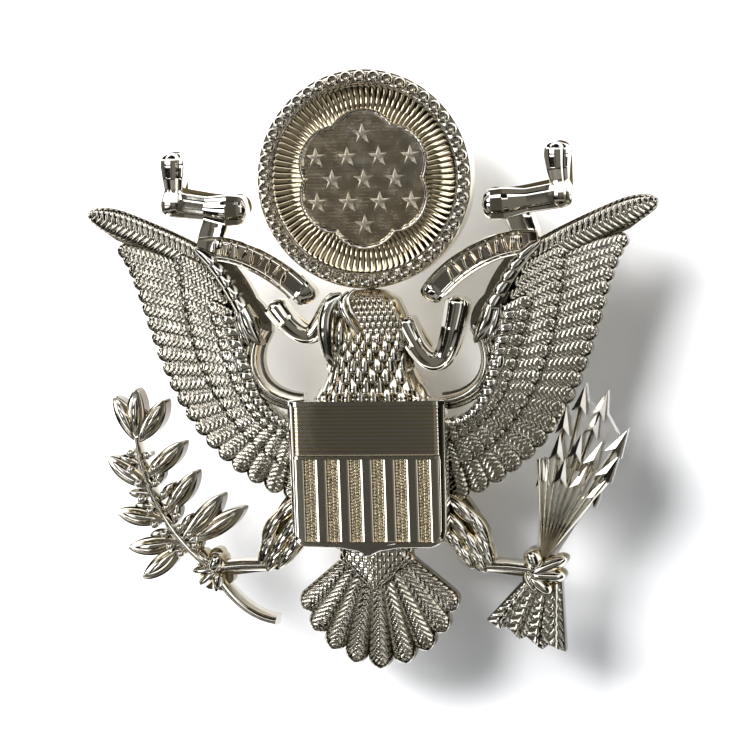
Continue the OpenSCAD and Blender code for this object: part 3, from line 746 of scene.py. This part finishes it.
def panel(x0, x1, z0, z1, top, n=16, lip=0.05, fall=None):
    """A plate between x0 and x1 that follows the shield's curve. z0 and z1 are heights or functions.
    The bevels lip wide at its sides go down by the two drops in fall."""
    x = np.concatenate([[x0], np.linspace(x0 + lip, x1 - lip, n), [x1]])
    left, right = fall or (lip, lip)
    below = np.concatenate([[left], np.zeros(n), [right]])
    za = z0(x) if callable(z0) else np.full_like(x, z0)
    zb = z1(x) if callable(z1) else np.full_like(x, z1)
    h = shield_h(x) + top - below
    floor = np.full_like(x, 3.0)
    edge = min(lip, 0.04)
    rows = [(za, floor), (za, h - edge), (za + edge, h), (zb - edge, h), (zb, h - edge), (zb, floor)]
    return np.stack([np.stack([x, z, height], -1) for z, height in rows], 1)


def build_shield():
    r = Relief()
    side = S_W / 2 - 0.25
    r.tube(panel(-side, side, shield_low, S_TOP - 0.05, -0.75, n=60))
    # Rim: a rounded bead round the edge
    top, low = S_TOP - 0.28, S_LOW + 1.5
    left = [(-7.72 + 0.12 * k, top + (low - top) * k) for k in np.linspace(0, 1, 24)]
    bottom = [(x, float(shield_low(x)) + 0.28) for x in np.linspace(-7.45, 7.45, 64)]
    line = resample(left + bottom + [(-x, z) for x, z in reversed(left)], 0.25)
    s = strip(line, RIM, floor=3.0)
    rim = s[:, : len(RIM)]
    rim[..., 2] += shield_h(rim[..., 0]) + 0.02
    r.tube(s)
    # Bar at the head, rail under the chief, foot below the stripes, and the raised bars
    r.tube(panel(-S_W / 2, S_W / 2, S_TOP - HEAD_BAR, S_TOP, 0.02, n=60))
    r.tube(panel(-INSIDE, INSIDE, STRIPE_TOP, CHIEF_LOW, 0.0, n=60))
    r.tube(panel(-7.4, 7.4, shield_low, STRIPE_LOW, -0.02, n=60))
    half = STRIPE_W / 2
    centres = [(i - (STRIPES - 1) / 2) * STRIPE_PITCH for i in range(STRIPES)]
    starts = [-INSIDE] + [c + half for c in centres]
    ends = [c - half for c in centres] + [INSIDE]
    for a, b in zip(starts, ends):
        r.tube(panel(a, b, STRIPE_LOW, STRIPE_TOP, 0.0, n=10, lip=0.12, fall=(0.021, 0.056)))
    make("shield_relief", r, m_polish, ["shield"], sharp=30)


def sheet(x, z, h, floor):
    """The surface h over the grid of z by x, closed down to the floor."""
    return closed(np.stack([np.broadcast_to(x, h.shape), np.broadcast_to(z, h.shape), h], -1), floor)


def build_stripes():
    """The recessed stripes, each with three dotted ridges."""
    r = Relief()
    for i in range(STRIPES):
        c = (i - (STRIPES - 1) / 2) * STRIPE_PITCH
        x = np.linspace(c - STRIPE_W / 2, c + STRIPE_W / 2, 31)
        across = np.sin(3 * math.pi * (x - x[0]) / STRIPE_W)
        ripple = 0.1 * np.abs(across) ** 0.8
        ripple[[0, -1]] += 0.3
        z = np.linspace(STRIPE_LOW, STRIPE_TOP, 140)[:, None]
        dots = 0.014 * np.sin(z * 20.0 + i) * np.sign(across)[None, :]
        # The stripe's own gilt, painted as a recess: painted shade shifts it towards the darker gold.
        r.tube(sheet(x, z, (shield_h(x) - 0.42 + ripple)[None, :] + dots, 3.2), recess=0.4)
    make("shield_stripes_relief", r, m_gilt, ["shield_stripes"])


def build_chief():
    """The field at the head of the shield, with thirteen level ridges."""
    r = Relief()
    ridges, per = 13, 5
    z = np.linspace(CHIEF_LOW, S_TOP - HEAD_BAR, ridges * per + 1)
    ripple = 0.028 * np.abs(np.sin(math.pi * np.arange(len(z)) / per)) ** 0.5
    x = np.linspace(-INSIDE, INSIDE, 50)[:, None]
    h = shield_h(x) - 0.32 + ripple[None, :]
    # Painted shade in the grooves between the ridges.
    groove = np.broadcast_to(0.45 * (1 - ripple / ripple.max()) ** 2, h.shape)
    r.tube(sheet(x, z, h, 3.2), recess=np.concatenate([groove, groove[:, :2]], 1))
    make("shield_chief_relief", r, m_polish, ["shield_chief"], sharp=80)


build_shield()
build_stripes()
build_chief()

# ------------ scroll

BAND = [[16.9, 15.4], [14.3, 15.9], [10.2, 14.4], [7.1, 11.2]]
BAND_END = [[7.6, 11.9], [7.0, 11.2], [6.4, 10.6], [6.0, 9.9]]
RISER = [[15.9, 15.2], [16.4, 16.6], [15.4, 17.4], [15.2, 18.8]]
SHELF = [[12.0, 19.3], [14.6, 19.3], [17.0, 19.6], [20.6, 20.2]]
CURL = [[19.6, 18.9], [19.9, 20.8], [19.3, 22.4], [19.5, 25.2]]
WAVE_LEFT = [[-2.8, 10.3], [-5.6, 8.6], [-5.2, 3.2], [-9.9, 10.0]]
WAVE_RIGHT = [[3.4, 8.2], [6.4, 1.2], [8.0, 3.2], [9.2, 10.2]]
EDGE_DROP = 0.24


def ribbon(curve, w, heights, widths=(1, 1), hollow=0.16, crown=0.12, round_ends=(1, 1)):
    """A ribbon with a rounded rim. heights and widths are spread evenly along it."""
    line = resample(bez(curve, np.linspace(0, 1, 80)), 0.15)
    half = [0.2, 0.4, 0.62, 0.76, 0.85, 0.93, 0.985, 1.0]
    v = np.array([-x for x in reversed(half)] + [0] + half)
    top = np.interp(np.abs(v), [0, 0.4, 0.62, 0.76, 0.85, 0.93, 0.985, 1.0],
                    [crown - hollow, 0.8 * crown - hollow, -hollow, -hollow * 0.7, -0.03, 0,
                     -EDGE_DROP * 0.4, -EDGE_DROP])
    k = np.linspace(0, 1, len(line))
    s = k * np.linalg.norm(np.diff(line, axis=0), axis=1).sum()
    ws = np.interp(k, np.linspace(0, 1, len(widths)), widths)
    hs = np.interp(k, np.linspace(0, 1, len(heights)), heights)
    for rounds, dist in zip(round_ends, (s, s[-1] - s)):
        if rounds:
            near = np.clip(1 - dist / (w * 0.75), 0, 0.98)
            ws = ws * np.sqrt(1 - near**3)
            hs = hs - 0.4 * near**3
    return strip(line, np.stack([v * w, top], 1), floor=0.3, heights=hs, widths=ws)


def band_marks(put, start, stop, count, h):
    """Plain raised bars along the band, every other one leaning."""
    for j, k in enumerate(np.linspace(start, stop, count)):
        ends = bez(BAND, np.array([k - 0.01, k + 0.01]))
        _, d, n = heading(*ends)
        reach = (n + d * (0.25 if j % 2 else -0.1)) * 0.78
        m = ends.mean(0)
        put(leaf(m - reach, m + reach, 0.27, h, h, dome=0.32, floor=h - 0.5, rows=9, cols=6,
                 outline=blunt(power=6)))


def build_band(side, sign):
    """The arched band, the fold that rises from it, and its end, which turns under."""
    node = "scroll_band_" + side
    r = Relief(node, 1.2, 0.3)
    put = sided(r, sign)
    put(ribbon(BAND, 1.27, [2.4, 2.5, 2.55, 2.5, 2.4], hollow=0.32, crown=0.0, round_ends=(0, 0)))
    put(ribbon(RISER, 1.32, [2.5, 2.3, 2.35, 2.5], hollow=0.12, crown=-0.1, round_ends=(0, 0)))
    put(ribbon(BAND_END, 1.2, [1.9, 2.1, 1.7], hollow=0.1, round_ends=(0, 1)))
    band_marks(put, 0.16, 0.86, 10, 2.14)
    make(node + "_relief", r, m_polish, [node])


def build_end(side, sign):
    """The level shelf and the roll that stands on its outer end."""
    node = "scroll_end_" + side
    r = Relief(node, 0.9, 0.3)
    put = sided(r, sign)
    put(ribbon(SHELF, 1.4, [2.9, 2.95, 2.5, 2.45, 2.55], widths=[1.05, 1.12, 0.86, 0.9, 0.95],
               hollow=0.05, crown=0.45))
    put(ribbon(CURL, 1.2, [2.5, 2.8, 2.4, 2.85, 3.0, 2.8], widths=[1.02, 1.0, 0.78, 0.92, 1.05, 1.0],
               hollow=0.05, crown=0.5))
    make(node + "_relief", r, m_polish, [node])


def build_wave(side, curve, w):
    node = "scroll_wave_" + side
    r = Relief(node, 0.9, 0.3)
    r.tube(ribbon(curve, w, [2.5, 2.6, 2.2, 2.7, 2.5], widths=[1.1, 0.9, 0.85, 1.0, 1.15], hollow=0.15,
                  crown=0.3))
    make(node + "_relief", r, m_polish, [node])


for side, sign in SIDES:
    build_band(side, sign)
for side, sign in SIDES:
    build_end(side, sign)
build_wave("left", WAVE_LEFT, 1.02)
build_wave("right", WAVE_RIGHT, 1.12)

# ------------ olive branch

STEM = [[-17.2, -17.2], [-20.6, -14.6], [-23.9, -10.4], [-24.6, -3.6]]
STEM_TAIL = [[-16.4, -18.4], [-15.0, -20.6], [-12.9, -22.2], [-10.6, -22.5]]
LEAVES = [
    [[-24.7, -4.1], [-26.9, 0.6]], [[-24.6, -4.0], [-24.5, 1.4]], [[-24.5, -4.1], [-21.5, 0.2]],
    [[-23.5, -8.8], [-27.9, -5.6]], [[-23.8, -7.7], [-19.7, -4.1]],
    [[-22.0, -12.1], [-27.1, -11.2]], [[-22.1, -11.6], [-18.5, -7.1]],
    [[-20.5, -14.3], [-26.0, -15.0]], [[-20.2, -14.1], [-15.8, -9.5]],
    [[-20.2, -14.6], [-24.6, -18.2]], [[-19.6, -14.4], [-13.6, -10.9]],
]


def stem_at(t):
    """The place on the stem at t, and its direction there in degrees."""
    a, b = bez(STEM, t - 0.02), bez(STEM, t + 0.02)
    return bez(STEM, t), math.degrees(math.atan2(b[1] - a[1], b[0] - a[0]))


def build_stem():
    r = Relief()
    line = resample(bez(STEM, np.linspace(0, 1, 60)), 0.25)
    k = np.linspace(1, 0.7, len(line))
    r.tube(strip(line, ridge(0.4, 0.4), heights=2.2 - 0.1 * k, widths=k))
    line = resample(bez(STEM_TAIL, np.linspace(0, 1, 60)), 0.25)
    r.tube(strip(line, ridge(0.5, 0.5), heights=np.full(len(line), 1.9)))
    make("olive_stem_relief", r, m_relief, ["olive_stem"])


def build_leaves():
    """Each leaf is a flat blade with a rounded middle on it. Small leaves stand behind the berries."""
    r = Relief()
    for k, (p, q) in enumerate(np.array(LEAVES)):
        way = q - p
        bend = 0.12 * (1 if k % 2 else -1)
        base = 1.7 + 0.12 * (k % 3)
        r.tube(leaf(p, q, 0.98, base, base + 0.1, dome=0.2, floor=0.01 * k, rows=26, power=6.0, bend=bend,
                    shade=1.0))
        r.tube(leaf(p + 0.16 * way, q - 0.13 * way, 0.56, base + 0.2, base + 0.3, floor=1.0, rows=26,
                    cols=14, power=2.2, bend=bend * 0.8, shade=1.0))
    for i in range(8):
        for side in (-1, 1):
            c, a = stem_at(0.2 + 0.09 * i + 0.03 * side)
            foot = c + unit(a + 90 * side) * 0.35
            tip = foot + unit(a + (48 + 8 * (i % 3)) * side) * 2.3
            r.tube(leaf(foot, tip, 0.5, 1.6, 1.75, dome=0.3, floor=0.3, rows=12, cols=8, shade=1.0))
    make("olive_leaves_relief", r, m_relief, ["olive_leaves"])


def build_berries():
    r = Relief()
    for i in range(9):
        for side in (-1, 1):
            c, a = stem_at(0.22 + 0.085 * i + (0.03 if side > 0 else 0))
            c = c + unit(a + 90 * side) * (0.85 + 0.35 * (i % 2))
            r.tube(drop(c, 0.4, 0.4, 2.45, 14, 7))
            # A dark stalk under each berry: painted shade round its foot.
            r.tube(lathe([(0.02, 2.3), (0.32, 2.2), (0.32, 0.4), (0.02, 0.4)], c, 8), recess=1.0)
    make("olive_berries_relief", r, m_polish, ["olive_berries"])


build_stem()
build_leaves()
build_berries()

# ------------ arrows

BIND = np.array([17.0, -16.0])
# Rows of arrows, the farthest first: reach, middle direction, spread to each side, and number
ROWS = [(18.6, 71.5, 3.6, 2), (16.1, 68, 12, 3), (13.5, 67, 14, 4), (10.7, 70, 19, 4)]
ARROWS = [(reach - 0.6 * abs(v), mid + half * v)
          for reach, mid, half, n in ROWS for v in np.linspace(-1, 1, n)]
BARE_SHAFTS, RIBS = 9, 9
FLIGHT_ROOTS = np.array([(15.0, -18.5), (15.9, -18.7), (16.8, -18.8), (17.7, -18.7), (18.6, -18.4)])
FLIGHT_FEET = np.array([(11.1, -22.2), (13.0, -22.9), (15.0, -23.9), (17.2, -24.7), (18.85, -25.35)])
FLIGHT_TIPS = np.array([(12.3, -23.1), (14.3, -24.2), (16.6, -25.2), (18.3, -25.2)])
QUILL = 0.45


def build_shafts():
    """A satin web behind, and on it the shafts that show past it and the ribs of the bundle."""
    r = Relief("arrow_shafts", 1.45)
    make("arrow_web", r, m_satin, ["arrow_shafts"])

    r = Relief()
    for reach, a in ARROWS[:BARE_SHAFTS]:
        line = np.linspace(BIND + unit(a) * 9.5, BIND + unit(a) * (reach - 1.5), 6)
        r.tube(strip(line, ridge(0.24, 0.4, 7), floor=0.6, heights=np.full(6, 1.5)))
    s = np.linspace(0, 1, 12)
    for i, v in enumerate(np.linspace(1, -1, RIBS)):
        q = BIND + unit(51 + (90 - 51) * i / (RIBS - 1)) * (10.5 - 0.48 * v**2)
        line = BIND + [0.22 * v, 0] + (q - BIND) * (0.02 + 0.98 * s[:, None])
        r.tube(strip(line, ridge(1.0, 1.0, 7), floor=0.6, heights=np.full(12, 1.0), widths=0.16 + 0.22 * s))
    make("arrow_shafts_relief", r, m_relief)


def build_heads():
    """Barbed points, each with a ridge down its middle."""
    r = Relief()
    u = np.array([0.03, 0.35, 0.7, 1.0])[:, None]
    v = np.array([-1.0, 0.0, 1.0])[None, :]
    back = 2.95 * u * (1 - 0.28 * (1 - np.abs(v)))
    for k, (reach, a) in enumerate(ARROWS):
        q, d, n = BIND + unit(a) * reach, unit(a), unit(a + 90)
        x, z = laid(q, -d, n, back, 0.76 * u * v)
        h = 1.75 + 0.16 * (k % 3) + 0.18 * u**0.8 * (1 - np.abs(v))
        r.tube(closed(np.stack([x, z, h], -1), 0.9))
    make("arrow_heads_relief", r, m_polish, ["arrow_heads"], sharp=20)


def build_fletching():
    """Four feathers, each a fan of barbs about a quill, with a pointed foot."""
    r = Relief("arrow_fletching", 1.3, 0.5)
    v = np.linspace(0, 1, 17)
    for j, tip in enumerate(FLIGHT_TIPS):
        top = FLIGHT_ROOTS[j] + (FLIGHT_ROOTS[j + 1] - FLIGHT_ROOTS[j]) * v[:, None]
        foot = np.stack([FLIGHT_FEET[j], tip, FLIGHT_FEET[j + 1]])
        low = np.stack([np.interp(v, [0, 0.6, 1], foot[:, axis]) for axis in (0, 1)], 1)
        length = np.linalg.norm(low - top, axis=1).mean()
        t = np.arange(0, length + 0.01, 0.08)[:, None] / length
        place = top[None] + (low - top)[None] * t[..., None]
        side = (v - QUILL)[None] * (0.3 + 0.7 * t)
        barb = (t * length - np.abs(side) * 2.4) / 0.85
        barb = np.exp(-(((barb % 1 - 0.5) / 0.17) ** 2))
        quill = np.exp(-((side / 0.06) ** 2))
        h = 1.6 + (0.13 * barb * (1 - quill) + 0.4 * quill) * (1 - np.abs(2 * v - 1)[None] ** 8)
        # The fletching is painted as a shallow recess: a little painted shade all over.
        r.tube(closed(np.concatenate([place, h[..., None]], -1), 0.8), recess=0.1)
    make("arrow_fletching_relief", r, m_feather, ["arrow_fletching"])


build_shafts()
build_heads()
build_fletching()

# ------------ fastening

POST_R, POST_LEN, SHOULDER_R, SHOULDER_LEN = 2.0, 11.0, 2.4, 2.6
THREAD_DEPTH, THREAD_PITCH = 0.42, 0.7
PIN_UP = 9.0
GAP = 0.05
WASHER_H = 0.8
KNURLS = 30
# Profiles are radius and distance behind the face that is nearer the badge
SHOULDER = [(0.02, 0.0), (SHOULDER_R, 0.0), (SHOULDER_R, SHOULDER_LEN - 0.1),
            (SHOULDER_R - 0.1, SHOULDER_LEN), (1.6, SHOULDER_LEN), (0.02, SHOULDER_LEN)]
PIN = [(0.02, 0.0), (1.0, 0.0), (1.0, 0.15), (0.85, 0.32), (0.66, 0.42), (0.6, 0.6), (0.6, 3.6),
       (0.56, 3.75), (0.12, 4.57), (0.02, 4.6)]
WASHER = [(2.08, 0), (4.2, 0), (4.4, 0.08), (4.5, 0.3), (4.5, 0.5), (4.4, 0.72), (4.2, WASHER_H),
          (3.8, WASHER_H), (3.65, 0.68), (3.2, 0.68), (3.05, WASHER_H), (2.08, WASHER_H)]
# The nut's third value is how deep the knurling is cut there
NUT = [(2.06, 0.0, 0), (3.7, 0.0, 0), (4.05, 0.12, 0.5), (4.2, 0.32, 1), (4.2, 1.48, 1), (4.05, 1.68, 0.5),
       (3.65, 1.8, 0), (3.4, 1.8, 0), (3.3, 1.95, 0), (3.0, 3.2, 0), (2.85, 3.4, 0), (2.4, 3.4, 0),
       (2.06, 3.1, 0)]


def behind(profile, y, centre=(0, 0), n=96):
    """A profile turned about an axis, starting y behind the back."""
    return lathe([(rad, -y - d) for rad, d in profile], centre, n)


def build_post():
    """The shoulder, and the thread as one helical surface from there to the chamfered end."""
    r = Relief()
    r.tube(behind(SHOULDER, 0, n=64))
    y = np.linspace(SHOULDER_LEN - 0.05, POST_LEN, int((POST_LEN - SHOULDER_LEN) / 0.07))[:, None]
    t = around(40)
    phase = (y / THREAD_PITCH - t[None, :] / (2 * math.pi)) % 1
    cut = np.clip(THREAD_DEPTH * np.abs(2 * phase - 1), 0.05, THREAD_DEPTH - 0.04)
    chamfer = POST_R - 0.03 - np.clip(y - (POST_LEN - 0.5), 0, 1) * 0.95
    end = 1.62 + np.clip(POST_LEN - y, 0, 0.4) * 3
    rad = np.minimum(np.minimum(POST_R - cut, chamfer), end)
    r.tube(polar((0, 0), rad, t, -y))
    make("screw_post_thread", r, m_steel, ["screw_post"], sharp=50)


def build_pins():
    r = Relief()
    for sign in (-1, 1):
        r.tube(behind(PIN, 0, (0, PIN_UP * sign), 32))
    make("locating_pins_turned", r, m_steel, ["locating_pins"], sharp=35)


def build_washer():
    r = Relief()
    r.tube(behind(WASHER, SHOULDER_LEN + GAP), ring=True)
    make("pressure_washer_turned", r, m_brass, ["pressure_washer"], body="washer",
         sharp=45)


def build_nut():
    r = Relief()
    y = SHOULDER_LEN + GAP + WASHER_H + GAP
    t = around(KNURLS * 8)
    knurl = 0.25 * (0.5 - 0.5 * np.cos(KNURLS * t))
    r.tube([polar((0, 0), rad - knurl * k, t, -y - d) for rad, d, k in NUT], ring=True)
    make("thumb_nut_knurled", r, m_brass, ["thumb_nut"], body="nut", sharp=45)


build_post()
build_pins()
build_washer()
build_nut()

# ------------ stage, light and camera

PAPER_HALF, PAPER_Y = 0.6, 0.0113
WHITE = (0.93, 0.93, 0.94, 1)


def build_paper():
    """The white sheet behind the badge. It is clear from behind."""
    mesh = bpy.data.meshes.new("paper")
    corners = [(PAPER_HALF * x, PAPER_Y, PAPER_HALF * z) for x, z in ((-1, -1), (1, -1), (1, 1), (-1, 1))]
    mesh.from_pydata(corners, [], [(0, 1, 2, 3)])
    m = new_material("paper")
    t = m.node_tree
    mix = add(t, "MixShader")
    link(t, add(t, "NewGeometry"), "Backfacing", mix, "Fac")
    link(t, add(t, "BsdfDiffuse", Color=WHITE), 0, mix, 1)
    link(t, add(t, "BsdfTransparent"), 0, mix, 2)
    link(t, mix, 0, add(t, "OutputMaterial"), "Surface")
    mesh.materials.append(m)
    obj = bpy.data.objects.new("paper", mesh)
    bpy.context.scene.collection.objects.link(obj)


def build_room():
    """What the metal reflects. A tall barred window is at the left, with a faint curtain beside it.
    A lamp is above, a lit wall at the right and a dim strip below. The middle, where the camera and
    whoever holds it stand, is a dim warm grey, and the rest is almost black. The camera itself sees
    white, and the paper is lit evenly by a soft sky."""
    world = bpy.data.worlds.new("room")
    bpy.context.scene.world = world
    world.use_nodes = True
    t = world.node_tree
    t.nodes.clear()
    axes = add(t, "SeparateXYZ")
    link(t, add(t, "TexCoord"), "Generated", axes, "Vector")

    def calc(op, *values):
        n = add(t, "Math")
        n.operation = op
        for i, v in enumerate(values):
            if isinstance(v, (int, float)):
                n.inputs[i].default_value = v
            else:
                t.links.new(v, n.inputs[i])
        return n.outputs[0]

    def product(first, *others):
        for other in others:
            first = calc("MULTIPLY", first, other)
        return first

    def step_up(value, low, high):
        n = add(t, "MapRange", From_Min=low, From_Max=high)
        n.interpolation_type = "SMOOTHSTEP"
        t.links.new(value, n.inputs["Value"])
        return n.outputs["Result"]

    def band(value, start, full, last_full, end):
        return product(step_up(value, start, full), step_up(value, end, last_full))

    right, up = axes.outputs["X"], axes.outputs["Z"]
    left, front, down = (calc("MULTIPLY", axes.outputs[name], -1.0) for name in "XYZ")
    bars = calc("SINE", calc("MULTIPLY_ADD", up, 15.0, 2.5))
    window = product(band(left, 0.345, 0.365, 0.64, 0.70), band(up, -0.45, -0.36, 0.55, 0.62),
                     step_up(front, 0.12, 0.3), step_up(bars, -0.4, 0.15))
    curtain = band(left, 0.262, 0.29, 0.36, 0.42)
    lamp_above = product(band(up, 0.42, 0.46, 0.6, 0.66), step_up(front, 0.2, 0.4))
    wall = product(band(right, 0.42, 0.5, 0.66, 0.74), step_up(up, -0.4, -0.15))
    strip_below = band(down, 0.55, 0.62, 0.72, 0.8)
    sides = step_up(front, 0.25, 0.0)
    grey = calc("MULTIPLY_ADD", step_up(right, -0.2, -0.04), 0.1, 0.07)
    middle = product(step_up(front, 0.8, 0.93), grey)
    glow = calc("ADD", middle, 0.01)
    for shape, strength in ((window, 4.2), (curtain, 0.1), (lamp_above, 1.8), (wall, 1.0),
                            (strip_below, 0.3), (sides, 0.07)):
        glow = calc("MULTIPLY_ADD", shape, strength, glow)
    tint = add(t, "ValToRGB")
    tint.color_ramp.elements[0].color = (1.0, 0.92, 0.76, 1)
    tint.color_ramp.elements[1].color = (1.0, 0.99, 0.98, 1)
    tint.color_ramp.elements[1].position = 0.6
    t.links.new(glow, tint.inputs["Fac"])
    sheen = add(t, "Background")
    link(t, tint, "Color", sheen, "Color")
    t.links.new(glow, sheen.inputs["Strength"])
    soft = add(t, "Background", Color=(0.93, 0.97, 1.0, 1), Strength=0.3)
    seen = add(t, "Background", Color=WHITE, Strength=1.0)
    path = add(t, "LightPath")

    def choose(ray, other, chosen):
        mix = add(t, "MixShader")
        link(t, path, ray, mix, "Fac")
        link(t, other, 0, mix, 1)
        link(t, chosen, 0, mix, 2)
        return mix

    lit = choose("Is Diffuse Ray", sheen, soft)
    link(t, choose("Is Camera Ray", lit, seen), 0, add(t, "OutputWorld"), "Surface")


def lamp(name, watts, width, spot):
    """A square lamp aimed at the badge. Reflections leave it out, since they have the room."""
    data = bpy.data.lights.new(name, "AREA")
    data.energy = watts
    data.size = width
    obj = bpy.data.objects.new(name, data)
    bpy.context.scene.collection.objects.link(obj)
    obj.location = spot
    obj.rotation_euler = (-Vector(spot)).to_track_quat("-Z", "Y").to_euler()
    obj.visible_glossy = False


def build_camera():
    """The camera stands a little to the right of the badge and above it, and is turned a little."""
    target = Vector((0.0004, -0.0015, 0.0025))
    az, el, dist = math.radians(12.7), math.radians(5.5), 0.27
    away = Vector((math.sin(az) * math.cos(el), -math.cos(az) * math.cos(el), math.sin(el)))
    turn = (-away).to_track_quat("-Z", "Y").to_matrix() @ Matrix.Rotation(math.radians(-1.87), 3, "Z")
    sensor, view_width = 36, 0.075
    data = bpy.data.cameras.new("camera")
    data.sensor_width = sensor
    data.lens = sensor * dist / view_width
    data.clip_start = 0.01
    data.clip_end = 20
    obj = bpy.data.objects.new("camera", data)
    bpy.context.scene.collection.objects.link(obj)
    obj.location = target + away * dist
    obj.rotation_euler = turn.to_euler()
    bpy.context.scene.camera = obj


build_paper()
build_room()
lamp("window", 4.8, 0.32, (-0.38, -0.34, 0.30))
lamp("ceiling", 4.0, 0.22, (-0.16, -0.46, 0.26))
build_camera()
bpy.context.scene.view_settings.view_transform = "Standard"
